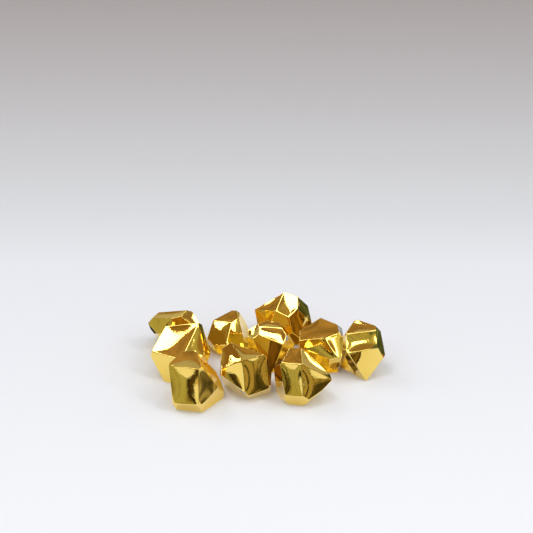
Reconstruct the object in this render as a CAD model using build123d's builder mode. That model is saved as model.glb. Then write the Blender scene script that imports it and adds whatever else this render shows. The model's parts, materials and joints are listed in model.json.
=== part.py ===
from build123d import *
import os

# A loose heap of ten faceted nuggets, the metallised acrylic "rocks" sold as vase filler and table scatter.
# Every nugget is one solid moulding with flat facets. Nothing joins them: each rests on the table by
# its own base facet, close against its neighbours.
# Millimetres, +Z up, table top at z = 0, the front of the heap towards -Y and its right towards +X.

BLANK = 60.0  # side of the block that each nugget is cut from, well over the 25 mm nugget

# The middle of each nugget: x, y and its height above the table, which is also the reach of its base.
BACK_LEFT = Vector(-41.5, 19.5, 8.5)
LEFT = Vector(-38.0, -0.5, 11.0)
FRONT_LEFT = Vector(-29.5, -26.0, 11.0)
BACK_MIDDLE = Vector(-17.0, 19.5, 10.0)
FRONT_MIDDLE = Vector(-10.0, -15.0, 10.0)
CENTRE = Vector(2.0, 5.0, 10.5)
BACK_RIGHT = Vector(7.0, 28.0, 11.0)
FRONT_RIGHT = Vector(15.0, -21.5, 11.0)
RIGHT = Vector(23.5, 4.5, 11.0)
FAR_RIGHT = Vector(42.0, 1.5, 11.0)

# Each facet is (azimuth, elevation, reach). The azimuth of its outward normal is counted in degrees from
# the front, positive towards the right. The elevation is counted in degrees up from level. The reach is
# the distance from the nugget's middle out to the facet. A gate scar is the small flat where the nugget
# was broken off its runner.
BACK_LEFT_FACETS = {
    "front": (-14, 24, 9.2),
    "front_right": (6, 21, 9.0),
    "crown": (-28, 72, 10.2),
    "crown_right": (38, 40, 11.4),
    "right": (116, 21, 10.0),
    "low_right": (95, -11, 12.4),
    "low_front": (0, -22, 6.6),
    "low_left": (-60, -30, 7.5),
    "left_shoulder": (-121, 30, 8.9),
    "back_shoulder": (180, 33, 4.0),
    "back": (180, -6, 9.3),
    "back_left": (-130, -9, 10.9),
    "back_right": (130, -14, 10.7),
    "gate_scar": (155, -30, 11.9),
}
LEFT_FACETS = {
    "crown": (-15, 53, 7.7),
    "low_front": (-21, 7, 11.2),
    "front": (27, 37, 10.0),
    "right": (64, 29, 12.2),
    "back_right_edge": (116, 5, 10.6),
    "low_right": (105, -12, 11.9),
    "low_corner": (40, -26, 11.8),
    "left": (-110, 7, 8.5),
    "left_bevel": (-111, 17, 8.4),
    "low_left": (-85, -27, 11.3),
    "left_shoulder": (-138, 38, 9.6),
    "back_shoulder": (-177, 38, 7.2),
    "back": (180, 5, 9.8),
    "back_left": (-135, -9, 9.6),
    "back_right": (135, -9, 10.9),
    "gate_scar": (140, -32, 13.5),
}
FRONT_LEFT_FACETS = {
    "front": (-16, 13, 10.5),
    "front_right": (47, 8, 8.9),
    "crown": (-16, 71, 11.8),
    "low_front": (-12, -31, 13.6),
    "low_right": (54, -10, 10.0),
    "right_shoulder": (95, 29, 6.5),
    "right": (108, -6, 11.9),
    "left": (-104, -9, 7.9),
    "left_shoulder": (-120, 34, 11.2),
    "back_shoulder": (-175, 37, 8.4),
    "back_right_shoulder": (140, 38, 7.7),
    "back": (180, -16, 11.8),
    "back_left": (-140, -9, 11.5),
    "back_right": (140, -9, 11.4),
    "gate_scar": (-160, -35, 13.5),
}
BACK_MIDDLE_FACETS = {
    "crown": (-16, 65, 6.9),
    "front": (-15, 41, 7.4),
    "front_right": (22, 33, 7.7),
    "right": (86, 16, 6.5),
    "right_shoulder": (84, 40, 7.8),
    "left": (-96, 18, 7.6),
    "left_shoulder": (-142, 37, 4.2),
    "back_shoulder": (173, 33, 4.7),
    "low_front": (-5, -33, 11.9),
    "low_left": (-60, -29, 11.6),
    "back": (180, -6, 10.9),
    "back_left": (-130, -9, 10.9),
    "back_right": (130, -9, 10.9),
    "gate_scar": (155, -25, 12.9),
}
FRONT_MIDDLE_FACETS = {
    "front_left": (-21, 13, 11.4),
    "front": (21, 16, 11.6),
    "crown": (12, 71, 11.6),
    "crown_left": (-45, 42, 11.4),
    "right": (85, 7, 11.1),
    "low_front": (30, -41, 14.2),
    "low_left": (-47, -34, 10.1),
    "left": (-100, -1, 8.4),
    "low_right": (91, -9, 12.6),
    "back_shoulder": (-147, 36, 8.9),
    "right_shoulder": (152, 33, 3.7),
    "back": (180, -5, 11.4),
    "back_left": (-130, -4, 11.0),
    "back_right": (130, -3, 10.9),
    "gate_scar": (-70, 10, 11.7),
}
CENTRE_FACETS = {
    "front": (-9, 9, 7.8),
    "front_left": (-45, -7, 9.3),
    "crown": (18, 57, 7.8),
    "crown_left": (-55, 45, 10.4),
    "top": (26, 68, 8.2),
    "right": (59, -14, 7.4),
    "left": (-90, 0, 10.4),
    "right_shoulder": (103, 31, 7.5),
    "left_shoulder": (-145, 43, 8.2),
    "back_shoulder": (173, 38, 7.0),
    "back": (180, -6, 9.5),
    "back_left": (-130, -9, 9.9),
    "back_right": (130, -9, 10.4),
    "gate_scar": (62, 25, 9.2),
}
BACK_RIGHT_FACETS = {
    "front": (-1, 5, 11.4),
    "front_left": (-19, 9, 12.3),
    "front_right": (42, 13, 10.8),
    "crown": (27, 44, 11.3),
    "crown_left": (-25, 58, 12.6),
    "right_shoulder": (61, 26, 11.2),
    "right": (114, 1, 10.4),
    "low_front": (0, -27, 11.8),
    "left": (-110, -14, 7.2),
    "left_shoulder": (-140, 39, 6.1),
    "back_shoulder": (167, 32, 4.8),
    "back_right_shoulder": (141, 38, 8.5),
    "back": (180, -6, 11.6),
    "back_right": (130, -14, 11.4),
    "gate_scar": (155, -33, 14.0),
}
FRONT_RIGHT_FACETS = {
    "front": (-14, 13, 10.7),
    "front_right": (21, 15, 10.1),
    "crown": (-18, 64, 11.9),
    "low_front": (-12, -26, 13.1),
    "low_right": (42, -29, 12.4),
    "right_shoulder": (62, 49, 9.3),
    "right": (108, 7, 9.4),
    "right_underside": (79, -47, 9.2),
    "left": (-73, -4, 10.7),
    "low_left": (-52, -30, 14.1),
    "left_shoulder": (-102, 32, 10.9),
    "back_shoulder": (175, 33, 5.6),
    "back_right_shoulder": (136, 29, 4.7),
    "back": (175, -5, 12.0),
    "back_left": (-130, -9, 11.4),
    "back_right": (140, -9, 10.8),
    "gate_scar": (160, -35, 14.3),
}
RIGHT_FACETS = {
    "front": (6, 31, 9.9),
    "front_left": (-6, 24, 9.5),
    "crown": (-19, 64, 8.5),
    "low_front": (9, -20, 12.4),
    "low_left": (-18, -15, 10.4),
    "right": (95, -8, 7.8),
    "left": (-93, 1, 9.3),
    "left_underside": (-80, -31, 11.0),
    "left_shoulder": (-137, 34, 7.3),
    "back_shoulder": (143, 38, 7.7),
    "back": (180, -11, 11.4),
    "back_left": (-130, -9, 11.4),
    "back_right": (130, -9, 11.0),
    "gate_scar": (75, 44, 11.8),
}
FAR_RIGHT_FACETS = {
    "front": (13, 30, 11.7),
    "low_front": (15, 4, 11.4),
    "crown": (12, 67, 12.7),
    "right": (65, 21, 10.2),
    "low_left": (-48, -26, 11.8),
    "low_right": (73, -32, 9.5),
    "right_underside": (99, -27, 7.3),
    "left": (-87, 3, 9.3),
    "left_bevel": (-110, 30, 9.6),
    "left_shoulder": (-150, 39, 8.4),
    "back_shoulder": (154, 36, 5.5),
    "right_shoulder": (120, 40, 8.8),
    "back_right_edge": (110, 3, 5.8),
    "back": (180, -6, 11.5),
    "back_left": (-130, -9, 10.9),
    "gate_scar": (-160, -33, 13.9),
}


def facet_plane(middle, azimuth, elevation, reach):
    """The plane of one facet, with its normal pointing out of the nugget."""
    outward = Vector(0, -1, 0).rotate(Axis.X, -elevation).rotate(Axis.Z, azimuth)
    return Plane(origin=middle + outward * reach, z_dir=outward)


def cut_nugget(middle, facets):
    """Stand a blank on the table and cut every facet of one nugget from it."""
    with Locations((middle.X, middle.Y, 0)):
        Box(BLANK, BLANK, BLANK, align=(Align.CENTER, Align.CENTER, Align.MIN))
    for azimuth, elevation, reach in facets.values():
        split(bisect_by=facet_plane(middle, azimuth, elevation, reach), keep=Keep.BOTTOM)


def save(nugget, name):
    """Label a finished nugget and write it under its own name."""
    nugget.part.label = name
    export_step(nugget.part, f"parts/{name}.step")


os.makedirs("parts", exist_ok=True)

with BuildPart() as nugget_back_left:
    cut_nugget(BACK_LEFT, BACK_LEFT_FACETS)
save(nugget_back_left, "nugget_back_left")

with BuildPart() as nugget_left:
    cut_nugget(LEFT, LEFT_FACETS)
save(nugget_left, "nugget_left")

with BuildPart() as nugget_front_left:
    cut_nugget(FRONT_LEFT, FRONT_LEFT_FACETS)
save(nugget_front_left, "nugget_front_left")

with BuildPart() as nugget_back_middle:
    cut_nugget(BACK_MIDDLE, BACK_MIDDLE_FACETS)
save(nugget_back_middle, "nugget_back_middle")

with BuildPart() as nugget_front_middle:
    cut_nugget(FRONT_MIDDLE, FRONT_MIDDLE_FACETS)
save(nugget_front_middle, "nugget_front_middle")

with BuildPart() as nugget_centre:
    cut_nugget(CENTRE, CENTRE_FACETS)
save(nugget_centre, "nugget_centre")

with BuildPart() as nugget_back_right:
    cut_nugget(BACK_RIGHT, BACK_RIGHT_FACETS)
save(nugget_back_right, "nugget_back_right")

with BuildPart() as nugget_front_right:
    cut_nugget(FRONT_RIGHT, FRONT_RIGHT_FACETS)
save(nugget_front_right, "nugget_front_right")

with BuildPart() as nugget_right:
    cut_nugget(RIGHT, RIGHT_FACETS)
save(nugget_right, "nugget_right")

with BuildPart() as nugget_far_right:
    cut_nugget(FAR_RIGHT, FAR_RIGHT_FACETS)
save(nugget_far_right, "nugget_far_right")
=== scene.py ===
import json
import math

import bpy
import numpy as np
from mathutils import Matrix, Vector


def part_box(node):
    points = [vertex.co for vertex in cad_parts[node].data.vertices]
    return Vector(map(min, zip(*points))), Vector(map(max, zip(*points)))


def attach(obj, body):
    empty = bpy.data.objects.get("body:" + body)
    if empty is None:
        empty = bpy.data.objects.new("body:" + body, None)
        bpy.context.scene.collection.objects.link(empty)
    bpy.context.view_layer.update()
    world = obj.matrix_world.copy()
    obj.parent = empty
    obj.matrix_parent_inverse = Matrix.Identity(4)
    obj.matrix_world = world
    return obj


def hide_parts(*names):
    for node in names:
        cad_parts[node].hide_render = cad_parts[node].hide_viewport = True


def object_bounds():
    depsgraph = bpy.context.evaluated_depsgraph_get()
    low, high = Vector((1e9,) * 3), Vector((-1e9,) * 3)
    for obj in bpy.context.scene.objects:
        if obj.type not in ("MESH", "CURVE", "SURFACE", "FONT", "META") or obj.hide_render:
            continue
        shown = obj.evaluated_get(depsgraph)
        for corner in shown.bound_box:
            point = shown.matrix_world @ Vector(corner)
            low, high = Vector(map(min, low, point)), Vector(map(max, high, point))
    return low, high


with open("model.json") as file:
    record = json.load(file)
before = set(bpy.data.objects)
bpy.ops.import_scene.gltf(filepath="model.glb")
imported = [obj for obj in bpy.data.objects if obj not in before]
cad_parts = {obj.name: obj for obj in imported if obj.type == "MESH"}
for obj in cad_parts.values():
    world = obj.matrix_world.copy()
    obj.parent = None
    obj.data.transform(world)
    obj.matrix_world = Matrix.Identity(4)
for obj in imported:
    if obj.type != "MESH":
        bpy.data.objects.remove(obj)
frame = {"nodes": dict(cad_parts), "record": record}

# Looks for a heap of gold-metallised plastic nuggets. Metres, the same frame as the CAD model.
# Each CAD nugget has sharp edges and flat facets. Here each is remade as the moulding really is: its
# edges are slightly rounded, and its facets have sunk a little as the thick plastic cooled.

MM = 0.001
CAD_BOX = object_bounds()

# ---- surface of one moulding ---------------------------------------------------------------------
EDGE_BLEND = 0.085 * MM    # softness of the facet edges; the rounding is about six times this wide
SINK_SHARE = 0.028         # depth of a facet's sink, as a share of the square root of its area
SINK_MOST = 0.40 * MM
SCAR_SINK = 0.3            # a gate scar sinks less: this share of what its size would give
FILM_TERMS = 7             # terms of the series that gives a hollow its shape
FILM_REACH = 1.15          # how far out the series is used, with the farthest corner at 1
WAVE_COUNT = 5             # slow ripples left by the mould's hand-polished facets
WAVE_HEIGHT = 0.0022 * MM
WAVE_LENGTH = 8.0 * MM
WAVE_SPREAD = (0.6, 1.5)   # the ripples differ in pitch by this much
EDGE_STEP = 0.8 * MM       # spacing of mesh points along a facet's side
RING_DEPTHS = (            # millimetres in from a facet's side, closest where the edge is rounded
    0.0, 0.06, 0.13, 0.22, 0.34, 0.5, 0.75, 1.1, 1.6, 2.3, 3.2, 4.3, 5.6, 7.2,
)
RING_LAST = 0.92           # the rings stop this far from the side to the centre
NEWTON_STEPS = 4
FIRST_SEED = 11            # each nugget has ripples of its own, drawn from a seed counted up from this

SLIVER = 1e-14             # square metres; a triangle smaller than this has no reliable normal
SAME_FACET = 0.99995       # triangles whose normals agree this well, and whose planes lie
SAME_PLANE = 0.02 * MM     # this close, belong to one facet
SAME_CORNER = 0.005 * MM
WELD_STEP = 0.002 * MM

# Where each moulding was broken off its runner: azimuth and elevation of the small scar facet.
GATE_SCARS = {
    "nugget_back_left": (155, -30),
    "nugget_left": (140, -32),
    "nugget_front_left": (-160, -35),
    "nugget_back_middle": (155, -25),
    "nugget_front_middle": (-70, 10),
    "nugget_centre": (62, 25),
    "nugget_back_right": (155, -33),
    "nugget_front_right": (160, -35),
    "nugget_right": (75, 44),
    "nugget_far_right": (-160, -33),
}

# Where the coat has chipped off: azimuth and elevation seen from the nugget's middle, and the size.
CHIPS = {
    "nugget_front_middle": (-12, -36, 2.2 * MM),
    "nugget_back_left": (60, -30, 1.2 * MM),
    "nugget_far_right": (-150, 60, 1.0 * MM),
}
CHIP_FADE = 1.5            # the coat is whole again this many sizes from the middle of a chip


def direction(azimuth, elevation):
    """Unit vector: degrees from the front (-Y) towards +X, and degrees up from level."""
    a, e = math.radians(azimuth), math.radians(elevation)
    return np.array([math.sin(a) * math.cos(e), -math.cos(a) * math.cos(e), math.sin(e)])


def read_facets(node):
    """The flat facets of a CAD nugget: outward normal, distance from the origin, corners in order."""
    mesh = node.data
    points = np.array([v.co for v in mesh.vertices], float)
    facets = []
    for poly in mesh.polygons:
        corners = points[list(poly.vertices)]
        normal = np.cross(corners[1] - corners[0], corners[2] - corners[0])
        size = np.linalg.norm(normal)
        if size < SLIVER:
            continue
        normal /= size
        reach = float(normal @ corners[0])
        for facet in facets:
            if facet["normal"] @ normal > SAME_FACET and abs(facet["reach"] - reach) < SAME_PLANE:
                facet["points"].extend(corners)
                break
        else:
            facets.append({"normal": normal, "reach": reach, "points": list(corners)})
    for facet in facets:
        facet["corners"] = ordered_corners(facet["normal"], np.array(facet["points"]))
    return facets


def ordered_corners(normal, points):
    """The distinct points of one convex facet, in order round its normal."""
    distinct = []
    for p in points:
        if all(np.linalg.norm(p - q) > SAME_CORNER for q in distinct):
            distinct.append(p)
    distinct = np.array(distinct)
    middle = distinct.mean(0)
    across = distinct[0] - middle
    across /= np.linalg.norm(across)
    up = np.cross(normal, across)
    turn = np.arctan2((distinct - middle) @ up, (distinct - middle) @ across)
    return distinct[np.argsort(turn)]


def polygon_area(corners):
    """Area of a flat polygon."""
    fan = np.cross(corners[1:-1] - corners[0], corners[2:] - corners[0])
    return 0.5 * np.linalg.norm(fan.sum(0))


def side_points(start, end):
    """Points along one side of a facet, closer together near its ends. Leaves out the end point."""
    count = max(3, int(math.ceil(np.linalg.norm(end - start) / EDGE_STEP)) + 2)
    share = 0.5 - 0.5 * np.cos(np.pi * np.arange(count) / count)
    return start + (end - start) * share[:, None]


def rim_points(corners):
    """Points all round a facet."""
    sides = zip(corners, np.roll(corners, -1, axis=0))
    return np.concatenate([side_points(a, b) for a, b in sides])


class Sink:
    """The hollow of one facet, shaped like a film held along the facet's sides and pressed evenly."""

    def __init__(self, normal, corners, depth_share):
        self.centre = corners.mean(0)
        outward = corners - self.centre
        self.radius = np.linalg.norm(outward, axis=1).max()
        self.across = outward[0] / np.linalg.norm(outward[0])
        self.up = np.cross(normal, self.across)
        self.depth = depth_share * min(SINK_MOST, SINK_SHARE * math.sqrt(polygon_area(corners)))
        place = self.place(rim_points(corners))
        powers = place[:, None] ** np.arange(FILM_TERMS)
        waves = np.concatenate([powers.real, -powers.imag[:, 1:]], axis=1)
        found = np.linalg.lstsq(waves, np.abs(place) ** 2 / 4, rcond=None)[0]
        self.terms = found[:FILM_TERMS] + 1j * np.concatenate([[0], found[FILM_TERMS:]])
        self.terms /= found[0]
        self.bow = 1 / (4 * found[0])

    def place(self, points):
        """Points as complex numbers in the facet's plane, of size 1 at its farthest corner."""
        outward = points - self.centre
        return (outward @ self.across + 1j * (outward @ self.up)) / self.radius

    def hollow(self, points):
        """Depth of the hollow under each point, and the slope of that depth."""
        place = self.place(points)
        near = np.abs(place) < FILM_REACH
        place = np.where(near, place, 0)
        powers = place[:, None] ** np.arange(FILM_TERMS)
        share = (powers @ self.terms).real - self.bow * np.abs(place) ** 2
        turn = powers[:, :-1] @ (self.terms[1:] * np.arange(1, FILM_TERMS))
        along = (turn.real - 2 * self.bow * place.real) / self.radius
        aside = (-turn.imag - 2 * self.bow * place.imag) / self.radius
        slope = along[:, None] * self.across + aside[:, None] * self.up
        return self.depth * share * near, self.depth * slope * near[:, None]


class Moulding:
    """The finished surface of one nugget, as the zero level of a smooth function of position."""

    def __init__(self, facets, scar_direction, seed):
        self.normals = np.array([f["normal"] for f in facets])
        self.reaches = np.array([f["reach"] for f in facets])
        self.scar = int(np.argmax(self.normals @ scar_direction))
        self.sinks = []
        for i, facet in enumerate(facets):
            depth_share = SCAR_SINK if i == self.scar else 1.0
            self.sinks.append(Sink(facet["normal"], facet["corners"], depth_share))
        rng = np.random.default_rng(seed)
        self.wave_axes = rng.normal(size=(WAVE_COUNT, 3))
        self.wave_axes *= 2 * math.pi / WAVE_LENGTH / np.linalg.norm(self.wave_axes, axis=1)[:, None]
        self.wave_axes *= rng.uniform(*WAVE_SPREAD, size=(WAVE_COUNT, 1))
        self.wave_starts = rng.uniform(0, 2 * math.pi, size=WAVE_COUNT)

    def levels(self, points):
        """How far each point lies outside each facet's sunken surface, and the slope of that."""
        heights = points @ self.normals.T - self.reaches
        slopes = np.repeat(self.normals[None, :, :], len(points), axis=0)
        phase = points @ self.wave_axes.T + self.wave_starts
        waves = WAVE_HEIGHT * np.sin(phase).sum(1)
        wave_slopes = WAVE_HEIGHT * np.cos(phase) @ self.wave_axes
        for i, sink in enumerate(self.sinks):
            depth, slope = sink.hollow(points)
            heights[:, i] += depth + waves
            slopes[:, i] += slope + wave_slopes
        return heights, slopes

    def surface(self, points):
        """Smooth distance outside the moulding, its slope, and each facet's part in it."""
        heights, slopes = self.levels(points)
        heights /= EDGE_BLEND
        top = heights.max(1)
        parts = np.exp(heights - top[:, None])
        total = parts.sum(1)
        parts /= total[:, None]
        return EDGE_BLEND * (top + np.log(total)), (parts[:, :, None] * slopes).sum(1), parts

    def settle(self, points):
        """Moves points on to the surface. Returns them, its unit normals and how edge-like it is."""
        for _ in range(NEWTON_STEPS):
            value, slope, _ = self.surface(points)
            points = points - slope * (value / (slope ** 2).sum(1))[:, None]
        _, slope, parts = self.surface(points)
        edge_share = np.clip(2 * (1 - parts.max(1)), 0, 1)
        return points, slope / np.linalg.norm(slope, axis=1)[:, None], edge_share


def facet_grid(corners):
    """Rings of points from a facet's rim to its centre, and the faces between them."""
    rim = rim_points(corners)
    centre = corners.mean(0)
    depth = np.linalg.norm(corners - centre, axis=1).mean()
    shares = [d * MM / depth for d in RING_DEPTHS if d * MM / depth < RING_LAST]
    points = np.concatenate([rim + (centre - rim) * s for s in shares] + [centre[None, :]])
    faces = []
    n = len(rim)
    for ring in range(len(shares) - 1):
        for k in range(n):
            a, b = ring * n + k, ring * n + (k + 1) % n
            faces.append((a, b, b + n, a + n))
    last = (len(shares) - 1) * n
    faces.extend((last + k, last + (k + 1) % n, len(points) - 1) for k in range(n))
    return points, faces


def weld(points):
    """Merges points that coincide. Returns the kept points and each old point's new index."""
    keys = np.round(points / WELD_STEP).astype(np.int64)
    _, first, index = np.unique(keys, axis=0, return_index=True, return_inverse=True)
    return points[first], index.ravel()


def chipped_share(name, points):
    """How bare of its coat each point of a nugget is, from 0 to 1."""
    if name not in CHIPS:
        return np.zeros(len(points))
    azimuth, elevation, size = CHIPS[name]
    outward = points - (points.max(0) + points.min(0)) / 2
    heading = outward / np.linalg.norm(outward, axis=1)[:, None]
    chip = points[np.argmax(heading @ direction(azimuth, elevation))]
    return np.clip(CHIP_FADE - np.linalg.norm(points - chip, axis=1) / size, 0, 1)


def build_nugget(name, node, body, seed, materials):
    """Makes the finished moulding that stands for one CAD nugget."""
    facets = read_facets(node)
    moulding = Moulding(facets, direction(*GATE_SCARS[name]), seed)
    points, faces, owners = [], [], []
    start = 0
    for i, facet in enumerate(facets):
        grid, quads = facet_grid(facet["corners"])
        points.append(grid)
        faces.extend(tuple(start + k for k in quad) for quad in quads)
        owners.extend([i] * len(quads))
        start += len(grid)
    welded, index = weld(np.concatenate(points))
    settled, normals, edge_share = moulding.settle(welded)
    kept, kept_owners = [], []
    for face, owner in zip(faces, owners):
        ring = list(dict.fromkeys(int(index[k]) for k in face))
        if len(ring) > 2:
            kept.append(ring)
            kept_owners.append(owner)
    mesh = bpy.data.meshes.new(name + "_finished")
    mesh.from_pydata(settled.tolist(), [], kept)
    for material in materials:
        mesh.materials.append(material)
    for poly, owner in zip(mesh.polygons, kept_owners):
        poly.use_smooth = True
        poly.material_index = 1 if owner == moulding.scar else 0
    chip_share = chipped_share(name, settled)
    for label, values in (("edge_share", edge_share), ("chip_share", chip_share)):
        layer = mesh.attributes.new(label, "FLOAT", "POINT")
        layer.data.foreach_set("value", values.astype(np.float32))
    mesh.validate()
    mesh.normals_split_custom_set_from_vertices([Vector(n) for n in normals])
    piece = bpy.data.objects.new(name + "_finished", mesh)
    bpy.context.scene.collection.objects.link(piece)
    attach(piece, body)
    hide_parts(name)


# ---- shader building blocks ----------------------------------------------------------------------
def new_material(name):
    """An empty node material. Returns it, its node tree and its Principled shader."""
    material = bpy.data.materials.new(name)
    material.use_nodes = True
    return material, material.node_tree, material.node_tree.nodes["Principled BSDF"]


def noise(tree, scale, detail, roughness=0.5):
    """A noise texture in object coordinates, with its scale in metres."""
    where = tree.nodes.new("ShaderNodeTexCoord")
    texture = tree.nodes.new("ShaderNodeTexNoise")
    texture.inputs["Scale"].default_value = 1 / scale
    texture.inputs["Detail"].default_value = detail
    texture.inputs["Roughness"].default_value = roughness
    tree.links.new(where.outputs["Object"], texture.inputs["Vector"])
    return texture.outputs["Fac"]


def remap(tree, value, low, high, to_low, to_high):
    """Maps a value from one range to another, clamped."""
    node = tree.nodes.new("ShaderNodeMapRange")
    labels = ("From Min", "From Max", "To Min", "To Max")
    for label, number in zip(labels, (low, high, to_low, to_high)):
        node.inputs[label].default_value = number
    tree.links.new(value, node.inputs["Value"])
    return node.outputs["Result"]


def pattern(tree, layer, to_low=0.0, to_high=1.0):
    """A noise pattern: its size, its detail and the band of the noise over which it comes in."""
    size, detail, low, high = layer
    return remap(tree, noise(tree, size, detail), low, high, to_low, to_high)


def feed(tree, sockets, values):
    """Gives each socket its value: a number, a tuple, or a link from another socket."""
    for socket, value in zip(sockets, values):
        if isinstance(value, (int, float, tuple)):
            socket.default_value = value
        else:
            tree.links.new(value, socket)


def mix_colour(tree, share, first, second):
    """Blends two colours or sockets."""
    node = tree.nodes.new("ShaderNodeMix")
    node.data_type = "RGBA"
    tree.links.new(share, node.inputs["Factor"])
    sockets = [s for s in node.inputs if s.name in ("A", "B") and s.type == "RGBA"]
    feed(tree, sockets, (first, second))
    return [s for s in node.outputs if s.type == "RGBA"][0]


def mix_shaders(tree, share, first, second):
    """Blends two shaders and makes the blend the material's surface."""
    node = tree.nodes.new("ShaderNodeMixShader")
    feed(tree, node.inputs, (share, first, second))
    output = [n for n in tree.nodes if n.type == "OUTPUT_MATERIAL"][0]
    tree.links.new(node.outputs["Shader"], output.inputs["Surface"])


def maths(tree, kind, *values):
    """A maths node."""
    node = tree.nodes.new("ShaderNodeMath")
    node.operation = kind
    feed(tree, node.inputs, values)
    return node.outputs[0]


def vector_maths(tree, kind, *values):
    """A vector maths node."""
    node = tree.nodes.new("ShaderNodeVectorMath")
    node.operation = kind
    feed(tree, node.inputs, values)
    return node.outputs["Value" if kind in ("DOT_PRODUCT", "LENGTH") else "Vector"]


def bump(tree, height, distance, strength):
    """A bump node, with its depth in metres."""
    node = tree.nodes.new("ShaderNodeBump")
    node.inputs["Distance"].default_value = distance
    node.inputs["Strength"].default_value = strength
    tree.links.new(height, node.inputs["Height"])
    return node.outputs["Normal"]


def attribute(tree, name):
    """A number stored at the mesh points."""
    node = tree.nodes.new("ShaderNodeAttribute")
    node.attribute_name = name
    return node.outputs["Fac"]


# ---- materials of the nuggets --------------------------------------------------------------------
GOLD_LIGHT = (1.0, 0.735, 0.185, 1)
GOLD_DEEP = (0.965, 0.68, 0.145, 1)
GOLD_WORN = (1.0, 0.80, 0.33, 1)
BARE_PLASTIC = (0.62, 0.65, 0.66, 1)
BARE_SHADE = (0.20, 0.23, 0.25, 1)
PEEL_SIZE = 0.7 * MM       # orange peel of the lacquer
PEEL_DEPTH = 0.016 * MM
PEEL_LEAST = 0.25          # its strength where it is faintest
TEAR_SIZE = 0.45 * MM      # torn surface of the bare plastic
TEAR_DEPTH = 0.25 * MM
# Noise patterns: size, detail, and the band of the noise over which the pattern comes in.
DRIFT = (9 * MM, 2.0, 0.35, 0.65)           # patches of lighter and deeper gold
RUBBED_EDGES = (1.4 * MM, 4.0, 0.45, 0.62)  # stretches of edge where the coat is worn
HAZE = (5 * MM, 3.0, 0.4, 0.7)              # patches with a slight haze
SPECKS = (0.35 * MM, 2.0, 0.70, 0.76)       # dust
PEEL_PATCHES = (7 * MM, 2.0, 0.45, 0.6)     # where the orange peel is strong
CHIP_RIM = (0.8 * MM, 4.0, 0.3, 0.7)        # ragged rim of a chip
TEAR_SHADES = (0.9 * MM, 4.0, 0.35, 0.65)
TEAR_GLOSS = (0.5 * MM, 3.0, 0.3, 0.7)
# What the patterns range over: share of wear, or roughness.
RUBBED_SHARES = (0.1, 0.7)
HAZE_ROUGHNESS = (0.018, 0.05)
TEAR_ROUGHNESS = (0.2, 0.55)
SPECK_ROUGHNESS = 0.22
RUBBED_ROUGHNESS = 0.10
CHIP_RAGGED = 0.35
CHIP_EDGE = (0.62, 0.70)   # the coat ends where the chip share passes these


def torn_plastic(tree, shader):
    """Sets a shader to bare clear plastic with a torn surface."""
    colour = mix_colour(tree, pattern(tree, TEAR_SHADES), BARE_PLASTIC, BARE_SHADE)
    torn = bump(tree, noise(tree, TEAR_SIZE, 5.0, 0.65), TEAR_DEPTH, 0.8)
    tree.links.new(colour, shader.inputs["Base Color"])
    tree.links.new(pattern(tree, TEAR_GLOSS, *TEAR_ROUGHNESS), shader.inputs["Roughness"])
    tree.links.new(torn, shader.inputs["Normal"])


def gold_material():
    """Vacuum-metallised coat: mirror-bright, with tone drift, specks, worn edges and small chips."""
    material, tree, shader = new_material("gold_plating")
    shader.inputs["Metallic"].default_value = 1.0

    colour = mix_colour(tree, pattern(tree, DRIFT), GOLD_LIGHT, GOLD_DEEP)
    wear = pattern(tree, RUBBED_EDGES, *RUBBED_SHARES)
    rubbed = maths(tree, "MULTIPLY", attribute(tree, "edge_share"), wear)
    colour = mix_colour(tree, rubbed, colour, GOLD_WORN)
    tree.links.new(colour, shader.inputs["Base Color"])

    haze = pattern(tree, HAZE, *HAZE_ROUGHNESS)
    rough = maths(tree, "ADD", haze, pattern(tree, SPECKS, 0.0, SPECK_ROUGHNESS))
    rough = maths(tree, "ADD", rough, maths(tree, "MULTIPLY", rubbed, RUBBED_ROUGHNESS))
    tree.links.new(rough, shader.inputs["Roughness"])

    strength = pattern(tree, PEEL_PATCHES, PEEL_LEAST, 1.0)
    peel = maths(tree, "MULTIPLY", noise(tree, PEEL_SIZE, 2.0), strength)
    tree.links.new(bump(tree, peel, PEEL_DEPTH, 1.0), shader.inputs["Normal"])

    bare = tree.nodes.new("ShaderNodeBsdfPrincipled")
    torn_plastic(tree, bare)
    ragged = pattern(tree, CHIP_RIM, -CHIP_RAGGED, CHIP_RAGGED)
    chipped = maths(tree, "ADD", attribute(tree, "chip_share"), ragged)
    chipped = remap(tree, chipped, *CHIP_EDGE, 0.0, 1.0)
    mix_shaders(tree, chipped, shader.outputs["BSDF"], bare.outputs["BSDF"])
    return material


def scar_material():
    """Bare plastic, torn where the moulding left its runner."""
    material, tree, shader = new_material("bare_plastic")
    torn_plastic(tree, shader)
    return material


def heap():
    """All ten nuggets, each with ripples of its own."""
    materials = (gold_material(), scar_material())
    bodies = sorted(frame["record"]["behaviour"]["bodies"].items())
    for number, (body, members) in enumerate(bodies):
        for member in members:
            build_nugget(member, frame["nodes"][member], body, FIRST_SEED + number, materials)


# ---- the studio as the mirror facets see it ------------------------------------------------------
# Directions are an azimuth from the front (-Y) towards +X and an elevation, in degrees.
OLIVE = (0.43, 0.415, 0.215)    # walls
BROWN = (0.335, 0.215, 0.11)    # ceiling
DARK = (0.03, 0.026, 0.012)     # streaks
CEILING = (34, 58)              # elevations between which the walls turn into the ceiling
MOTTLE_SCALE = 9.0
MOTTLE_BAND = (0.35, 0.65)
MOTTLE_TONES = (0.72, 1.28)
STREAK_SCALE = 16.0
STREAK_BAND = (0.51, 0.58)
STREAK_STRENGTH = 0.9
STREAK_TOP = (14, 30)           # elevations between which the streaks fade out
WOBBLE_SCALE = 4.0
WOBBLE = 0.08                   # how far the streaks wander sideways, in radians
AMBIENT = (0.80, 0.815, 0.85)   # the room's even light on matt surfaces

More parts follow.
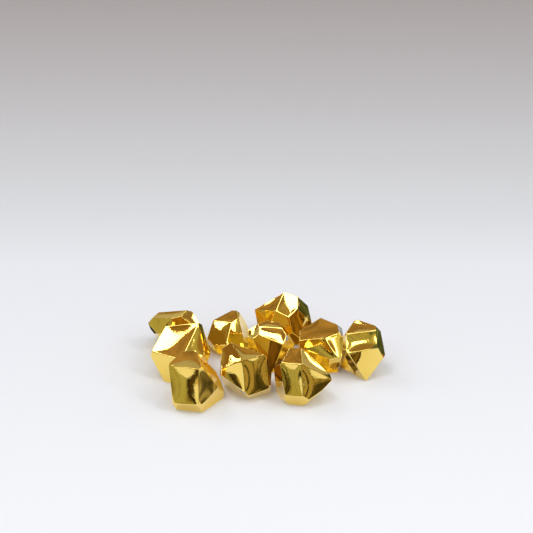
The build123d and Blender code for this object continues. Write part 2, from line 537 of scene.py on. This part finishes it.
# Features: azimuth, elevation, half width, half height, softness of the rim, colour.
ROOM_PATCHES = (
    (-36, 54, 22, 9, 3, (0.24, 0.14, 0.03)),        # dark brown ceiling beam, left of the camera
    (34, 40, 13, 7, 2, (0.30, 0.20, 0.10)),         # brown wall over the front window
    (14, 31, 8, 8, 2, (0.78, 0.74, 0.40)),          # lit wall in front
    (0, 25, 6, 6, 2, (0.10, 0.10, 0.03)),           # dark doorway in front
    (76, 36, 16, 8, 3, (0.28, 0.20, 0.14)),         # brown shelf at the right
    (118, 27, 24, 12, 3, (0.86, 0.72, 0.30)),       # gilt reflector standing at the right rear
    (-105, 28, 28, 12, 4, (0.24, 0.13, 0.05)),      # dark brown curtain at the left
    (115, 2, 25, 9, 4, (0.10, 0.12, 0.07)),         # dark green wall at the right
    (-38, -1, 3.5, 11, 1.5, (0.07, 0.045, 0.015)),  # dark stand
    (-47, -4, 4, 9, 1.5, (0.64, 0.48, 0.27)),       # tan box beside it
    (-17, 8, 5, 13, 2, (0.10, 0.075, 0.02)),        # dark curtain by the camera
    (38, 2, 15, 12, 4, (0.40, 0.31, 0.14)),         # dim wall, right of the camera
    (36, 4, 3.5, 6, 1.5, (0.07, 0.055, 0.02)),      # dark case in front of it
    (-160, 49, 22, 9, 3, (0.60, 0.57, 0.44)),       # pale ceiling panel at the left rear
    (-73, 16, 12, 9, 3, (0.78, 0.76, 0.30)),        # lit gilt wall at the left
)


def angles_of(tree, heading):
    """Azimuth in radians and elevation in degrees of a direction."""
    split = tree.nodes.new("ShaderNodeSeparateXYZ")
    tree.links.new(heading, split.inputs["Vector"])
    backward = maths(tree, "MULTIPLY", split.outputs["Y"], -1)
    azimuth = maths(tree, "ARCTAN2", split.outputs["X"], backward)
    elevation = maths(tree, "ARCSINE", split.outputs["Z"])
    return azimuth, maths(tree, "MULTIPLY", elevation, math.degrees(1))


def room_noise(tree, scale, detail, heading):
    """Noise over the directions round the heap."""
    texture = tree.nodes.new("ShaderNodeTexNoise")
    texture.inputs["Scale"].default_value = scale
    texture.inputs["Detail"].default_value = detail
    tree.links.new(heading, texture.inputs["Vector"])
    return texture.outputs["Fac"]


def patch_share(tree, flat_heading, elevation, patch):
    """How much of a patch covers a direction, from 0 to 1."""
    azimuth, height, half_width, half_height, soft, _ = patch
    x, y, _ = direction(azimuth, 0)
    aside = vector_maths(tree, "DOT_PRODUCT", flat_heading, (x, y, 0))
    aside = maths(tree, "MULTIPLY", maths(tree, "ARCCOSINE", aside), math.degrees(1))
    above = maths(tree, "ABSOLUTE", maths(tree, "SUBTRACT", elevation, height))
    across = remap(tree, aside, half_width - soft, half_width + soft, 1.0, 0.0)
    upward = remap(tree, above, half_height - soft, half_height + soft, 1.0, 0.0)
    return maths(tree, "MULTIPLY", across, upward)


def room_in_direction(tree, heading):
    """Colour of the studio in a direction: olive walls, brown ceiling, features and dark streaks."""
    azimuth, elevation = angles_of(tree, heading)
    mottle = remap(tree, room_noise(tree, MOTTLE_SCALE, 5.0, heading), *MOTTLE_BAND, 0.0, 1.0)
    dim, lit = (tuple(share * c for c in BROWN) for share in MOTTLE_TONES)
    ceiling = mix_colour(tree, mottle, (*dim, 1), (*lit, 1))
    colour = mix_colour(tree, remap(tree, elevation, *CEILING, 0.0, 1.0), (*OLIVE, 1), ceiling)
    flat_heading = vector_maths(tree, "MULTIPLY", heading, (1, 1, 0))
    flat_heading = vector_maths(tree, "NORMALIZE", flat_heading)
    for patch in ROOM_PATCHES:
        share = patch_share(tree, flat_heading, elevation, patch)
        colour = mix_colour(tree, share, colour, (*patch[-1], 1))
    streaks = tree.nodes.new("ShaderNodeTexNoise")
    streaks.noise_dimensions = "1D"
    streaks.inputs["Scale"].default_value = STREAK_SCALE
    streaks.inputs["Detail"].default_value = 2.0
    wobble = maths(tree, "MULTIPLY", room_noise(tree, WOBBLE_SCALE, 2.0, heading), WOBBLE)
    tree.links.new(maths(tree, "ADD", azimuth, wobble), streaks.inputs["W"])
    dark = remap(tree, streaks.outputs["Fac"], *STREAK_BAND, 0.0, STREAK_STRENGTH)
    dark = maths(tree, "MULTIPLY", dark, remap(tree, elevation, *STREAK_TOP, 1.0, 0.0))
    return mix_colour(tree, dark, colour, (*DARK, 1))


def room():
    """The dim studio round the table."""
    world = bpy.data.worlds.new("studio_room")
    bpy.context.scene.world = world
    world.use_nodes = True
    tree = world.node_tree
    where = tree.nodes.new("ShaderNodeTexCoord")
    seen = room_in_direction(tree, where.outputs["Generated"])
    path = tree.nodes.new("ShaderNodeLightPath")
    colour = mix_colour(tree, path.outputs["Is Diffuse Ray"], seen, (*AMBIENT, 1))
    tree.links.new(colour, tree.nodes["Background"].inputs["Color"])


# ---- paper sweep ---------------------------------------------------------------------------------
SWEEP_FRONT = -1.05
SWEEP_MIDDLE = -0.3
SWEEP_HALF_WIDTH = 1.6
BEND_START = 0.16
BEND_RADIUS = 0.42
BEND_STEPS = 12
WALL_TOP = 1.3
# Painted shade: how the paper darkens towards the backdrop, where less light falls. Distance behind
# the middle of the heap, colour.
PAPER_PAINTED_SHADE = (
    (-0.10, (0.84, 0.85, 0.87)),
    (0.10, (0.78, 0.79, 0.82)),
    (0.20, (0.635, 0.64, 0.65)),
    (0.37, (0.37, 0.33, 0.32)),
)
FIBRE = (0.4 * MM, 3.0, 0.3, 0.7)
FIBRE_TONES = (0.985, 1.01)
TOOTH_SIZE = 0.5 * MM
TOOTH_DEPTH = 0.02 * MM
PAPER_ROUGHNESS = 0.85
PAPER_SHEEN = 0.1
# The paper as the mirror facets see it: painted light, a glow that evens out its shadows, and painted
# bounce light among the nuggets.
PAPER_LIT = (0.88, 0.89, 0.90)
PAPER_EVEN = 0.2                # how far shadows on the paper are evened out in the facets
# Painted bounce light: an orange-gold glow that the facets see on the paper among the nuggets,
# standing in for light thrown back by their gold sides.
PAINTED_BOUNCE_DARK = (0.16, 0.075, 0.006)
PAINTED_BOUNCE_BRIGHT = (0.92, 0.64, 0.09)
PAINTED_BOUNCE_PATCHES = (5 * MM, 3.0, 0.36, 0.62)
PAINTED_BOUNCE_SECOND = 0.35             # how much of the amber is left in a facet's image of a facet
INNER_SHARES = (0.70, 0.64)     # how much of the heap's width and depth lies among the nuggets
INNER_SHIFT = 3 * MM            # that area lies this much right of and behind the centre nugget
INNER_RIM = (0.86, 1.04)        # the amber fades out between these shares of the way to its rim


def paper_fibre_and_painted_shade(tree, where):
    """Pale paper with a faint fibre, darkened towards the backdrop by painted shade."""
    split = tree.nodes.new("ShaderNodeSeparateXYZ")
    tree.links.new(where, split.inputs["Vector"])
    near, far = PAPER_PAINTED_SHADE[0][0], PAPER_PAINTED_SHADE[-1][0]
    ramp = tree.nodes.new("ShaderNodeValToRGB")
    elements = ramp.color_ramp.elements
    elements[0].color = (*PAPER_PAINTED_SHADE[0][1], 1)
    elements[1].color = (*PAPER_PAINTED_SHADE[-1][1], 1)
    for place, tone in PAPER_PAINTED_SHADE[1:-1]:
        elements.new((place - near) / (far - near)).color = (*tone, 1)
    tree.links.new(remap(tree, split.outputs["Y"], near, far, 0.0, 1.0), ramp.inputs["Fac"])
    return vector_maths(tree, "MULTIPLY", ramp.outputs["Color"], pattern(tree, FIBRE, *FIBRE_TONES))


def among_nuggets(tree, where):
    """1 on the paper among the nuggets, 0 outside."""
    low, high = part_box("nugget_centre")
    back = tuple(-(a + b) / 2 - INNER_SHIFT for a, b in zip(low, high))
    reach = [share * (b - a) / 2 for share, a, b in zip(INNER_SHARES, *CAD_BOX)]
    offset = vector_maths(tree, "ADD", where, back)
    offset = vector_maths(tree, "MULTIPLY", offset, (1 / reach[0], 1 / reach[1], 0))
    return remap(tree, vector_maths(tree, "LENGTH", offset), *INNER_RIM, 1.0, 0.0)


def painted_paper_in_mirror(tree, where, shader):
    """The facets see the paper through a painted glow: more evenly lit, with painted orange-gold
    bounce light between the nuggets' gold sides.
    """
    path = tree.nodes.new("ShaderNodeLightPath")
    first_look = remap(tree, path.outputs["Glossy Depth"], 1, 2, 1.0, PAINTED_BOUNCE_SECOND)
    inside = maths(tree, "MULTIPLY", among_nuggets(tree, where), first_look)
    painted_bounce = mix_colour(tree, pattern(tree, PAINTED_BOUNCE_PATCHES), (*PAINTED_BOUNCE_DARK, 1), (*PAINTED_BOUNCE_BRIGHT, 1))
    glow = tree.nodes.new("ShaderNodeEmission")
    tree.links.new(mix_colour(tree, inside, (*PAPER_LIT, 1), painted_bounce), glow.inputs["Color"])
    share = remap(tree, inside, 0, 1, PAPER_EVEN, 1.0)
    share = maths(tree, "MULTIPLY", share, path.outputs["Is Glossy Ray"])
    mix_shaders(tree, share, shader.outputs["BSDF"], glow.outputs["Emission"])


def paper_material():
    """Matt paper."""
    material, tree, shader = new_material("sweep_paper")
    where = tree.nodes.new("ShaderNodeTexCoord").outputs["Object"]
    tree.links.new(paper_fibre_and_painted_shade(tree, where), shader.inputs["Base Color"])
    tooth = bump(tree, noise(tree, TOOTH_SIZE, 4.0), TOOTH_DEPTH, 0.3)
    tree.links.new(tooth, shader.inputs["Normal"])
    shader.inputs["Roughness"].default_value = PAPER_ROUGHNESS
    shader.inputs["Specular IOR Level"].default_value = PAPER_SHEEN
    painted_paper_in_mirror(tree, where, shader)
    return material


def paper_sweep():
    """Pale floor that curves up into a backdrop well behind the heap, darkened there by painted shade.
    """
    profile = [(SWEEP_FRONT, 0.0), (SWEEP_MIDDLE, 0.0), (BEND_START, 0.0)]
    for k in range(1, BEND_STEPS + 1):
        turn = math.radians(90 * k / BEND_STEPS)
        forward, up = BEND_RADIUS * math.sin(turn), BEND_RADIUS * (1 - math.cos(turn))
        profile.append((BEND_START + forward, up))
    profile.append((BEND_START + BEND_RADIUS, WALL_TOP))
    points = [(x, y, z) for y, z in profile for x in (-SWEEP_HALF_WIDTH, SWEEP_HALF_WIDTH)]
    faces = [(2 * k, 2 * k + 1, 2 * k + 3, 2 * k + 2) for k in range(len(profile) - 1)]
    mesh = bpy.data.meshes.new("paper_sweep")
    mesh.from_pydata(points, [], faces)
    for poly in mesh.polygons:
        poly.use_smooth = True
    mesh.materials.append(paper_material())
    sweep = bpy.data.objects.new("paper_sweep", mesh)
    bpy.context.scene.collection.objects.link(sweep)


# ---- cards that only the mirror facets see -------------------------------------------------------
# The facets see the table end and the dim studio begin this far from the middle of the heap.
TABLE_FRONT = -0.105
TABLE_BACK = 0.20
TABLE_SIDE = 0.24
CARD_TOP = 0.035                # height of the studio seen beyond the table's front end
CARD_REACH = 1.2
PAINTED_CARD_STREAK_SCALE = 380
PAINTED_CARD_STREAK_BAND = (0.40, 0.62)
PAINTED_CARD_STREAK_SQUASH = 0.12       # the noise changes this much slower upwards than sideways
PAINTED_CARD_TONES = (0.25, 1.7)
# Small glowing cards with streaks round the nuggets, seen only in the facets: painted dark
# reflections; those among the nuggets are painted shade of the paper there. Two ends, bottom and top
# in millimetres, colour.
PAINTED_REFLECTION_CARDS = (
    ((56, -30), (56, 40), 10, 32, (0.10, 0.13, 0.09)),          # right of the heap
    ((60, -10), (60, 85), 0, 10, (0.26, 0.13, 0.02)),           # low, at the heap's right rear
    ((-10, -58), (-10, -31), 0, 12.5, (0.26, 0.225, 0.14)),     # in front of the front middle one
    ((50, -24), (55, -42), 0, 6, (0.12, 0.08, 0.02)),           # in front of the far right one
    ((-62, 26), (-46, 29), 0, 6, (0.15, 0.14, 0.05)),           # behind the back left one
    ((-1, -8), (7, -9), 0, 12, (0.10, 0.05, 0.01)),             # in front of the centre one
    ((-3, -13.5), (8, -14), 0, 10, (0.12, 0.06, 0.01)),         # between front middle and front right
    ((28, -6), (42, -6), 0, 6, (0.22, 0.14, 0.04)),             # between right and far right
    ((26, 2), (36, 2), 0, 8, (0.16, 0.09, 0.02)),               # the same, further back
)


def glow_material(name, colour):
    """A self-lit surface, whose colour is a function of the node tree."""
    material = bpy.data.materials.new(name)
    material.use_nodes = True
    tree = material.node_tree
    tree.nodes.clear()
    out = tree.nodes.new("ShaderNodeOutputMaterial")
    glow = tree.nodes.new("ShaderNodeEmission")
    tree.links.new(glow.outputs[0], out.inputs["Surface"])
    tree.links.new(colour(tree), glow.inputs["Color"])
    return material


def studio_beyond(tree):
    """The colour of the studio in the direction in which a card is seen."""
    geometry = tree.nodes.new("ShaderNodeNewGeometry")
    heading = vector_maths(tree, "MULTIPLY", geometry.outputs["Incoming"], (-1, -1, -1))
    return room_in_direction(tree, heading)


def streaked_painted_reflection(tone):
    """A dark tone with upright streaks, for the glowing cards of painted reflection."""

    def colour(tree):
        where = tree.nodes.new("ShaderNodeTexCoord")
        squash = vector_maths(tree, "MULTIPLY", where.outputs["Object"], (1, 1, PAINTED_CARD_STREAK_SQUASH))
        texture = tree.nodes.new("ShaderNodeTexNoise")
        texture.inputs["Scale"].default_value = PAINTED_CARD_STREAK_SCALE
        texture.inputs["Detail"].default_value = 4.0
        tree.links.new(squash, texture.inputs["Vector"])
        share = remap(tree, texture.outputs["Fac"], *PAINTED_CARD_STREAK_BAND, 0.0, 1.0)
        dim, bright = (tuple(k * c for c in tone) for k in PAINTED_CARD_TONES)
        return mix_colour(tree, share, (*dim, 1), (*bright, 1))

    return colour


def upright_card(name, start, end, bottom, top, colour):
    """An upright card that only the mirror facets see."""
    mesh = bpy.data.meshes.new(name)
    points = [(*start, bottom), (*end, bottom), (*end, top), (*start, top)]
    mesh.from_pydata(points, [], [(0, 1, 2, 3)])
    mesh.materials.append(glow_material(name, colour))
    card = bpy.data.objects.new(name, mesh)
    bpy.context.scene.collection.objects.link(card)
    card.visible_camera = False
    card.visible_diffuse = False
    card.visible_shadow = False
    card.visible_transmission = False


def cards():
    """The studio beyond the four ends of the table, and the small glowing cards of painted reflection
    and painted shade.
    """
    ends = (
        ("front_card", (-CARD_REACH, TABLE_FRONT), (CARD_REACH, TABLE_FRONT), CARD_TOP),
        ("back_card", (-CARD_REACH, TABLE_BACK), (CARD_REACH, TABLE_BACK), 2 * CARD_TOP),
        ("left_card", (-TABLE_SIDE, TABLE_FRONT), (-TABLE_SIDE, TABLE_BACK), 2 * CARD_TOP),
        ("right_card", (TABLE_SIDE, TABLE_FRONT), (TABLE_SIDE, TABLE_BACK), 2 * CARD_TOP),
    )
    for name, start, end, top in ends:
        upright_card(name, start, end, 0, top, studio_beyond)
    # Each small card glows with a dark painted reflection; among the nuggets it paints the shade of
    # the paper.
    for number, (start, end, bottom, top, tone) in enumerate(PAINTED_REFLECTION_CARDS):
        start, end = (tuple(MM * c for c in place) for place in (start, end))
        upright_card(f"painted_reflection_{number}", start, end, MM * bottom, MM * top, streaked_painted_reflection(tone))


# ---- lights and camera ---------------------------------------------------------------------------
LAMP_DISTANCE = 1.1
# Soft boxes: name, azimuth, elevation, width and height in degrees as seen from the heap, radiance.
SOFTBOXES = (
    ("key_left", -50, 70, 15, 13, 5.5),
    ("window_left", -32, 42.5, 12, 9, 4.5),
    ("window_right", 49, 28.5, 12, 8, 4),
    ("window_front", 19.5, 30, 4, 12, 4),
    ("strip_front", 33.5, 29, 7, 4, 4),
    ("key_right", 60, 50, 13, 17, 5.5),
    ("top_right", 100, 72, 11, 11, 5),
    ("streak_left", -103, 31.5, 18, 3, 5),
    ("streak_right", 112, 33, 13, 4, 5),
    ("back_left", -128, 50, 14, 12, 5.5),
)
CAMERA_PLACE = (-0.00022, -0.56794, 0.33914)
CAMERA_DOWN = 27                # degrees below level
LENS = 102.06                   # millimetres
SENSOR = 36                     # millimetres


def softbox(name, azimuth, elevation, width, height, radiance):
    """A rectangular studio light aimed at the middle of the heap."""
    light = bpy.data.lights.new(name, "AREA")
    light.shape = "RECTANGLE"
    light.size = 2 * LAMP_DISTANCE * math.tan(math.radians(width / 2))
    light.size_y = 2 * LAMP_DISTANCE * math.tan(math.radians(height / 2))
    light.energy = radiance * math.pi * light.size * light.size_y
    lamp = bpy.data.objects.new(name, light)
    bpy.context.scene.collection.objects.link(lamp)
    lamp.location = Vector(direction(azimuth, elevation)) * LAMP_DISTANCE
    lamp.rotation_euler = (-lamp.location).to_track_quat("-Z", "Y").to_euler()


def camera():
    """A long lens above and in front of the heap, aimed a little over it."""
    lens = bpy.data.cameras.new("camera")
    lens.sensor_width = SENSOR
    lens.lens = LENS
    lens.clip_start = 0.01
    eye = bpy.data.objects.new("camera", lens)
    bpy.context.scene.collection.objects.link(eye)
    eye.location = CAMERA_PLACE
    eye.rotation_euler = (math.radians(90 - CAMERA_DOWN), 0, 0)
    bpy.context.scene.camera = eye


heap()
paper_sweep()
room()
cards()
for box in SOFTBOXES:
    softbox(*box)
camera()

view = bpy.context.scene.view_settings
view.view_transform = "Standard"
view.look = "None"
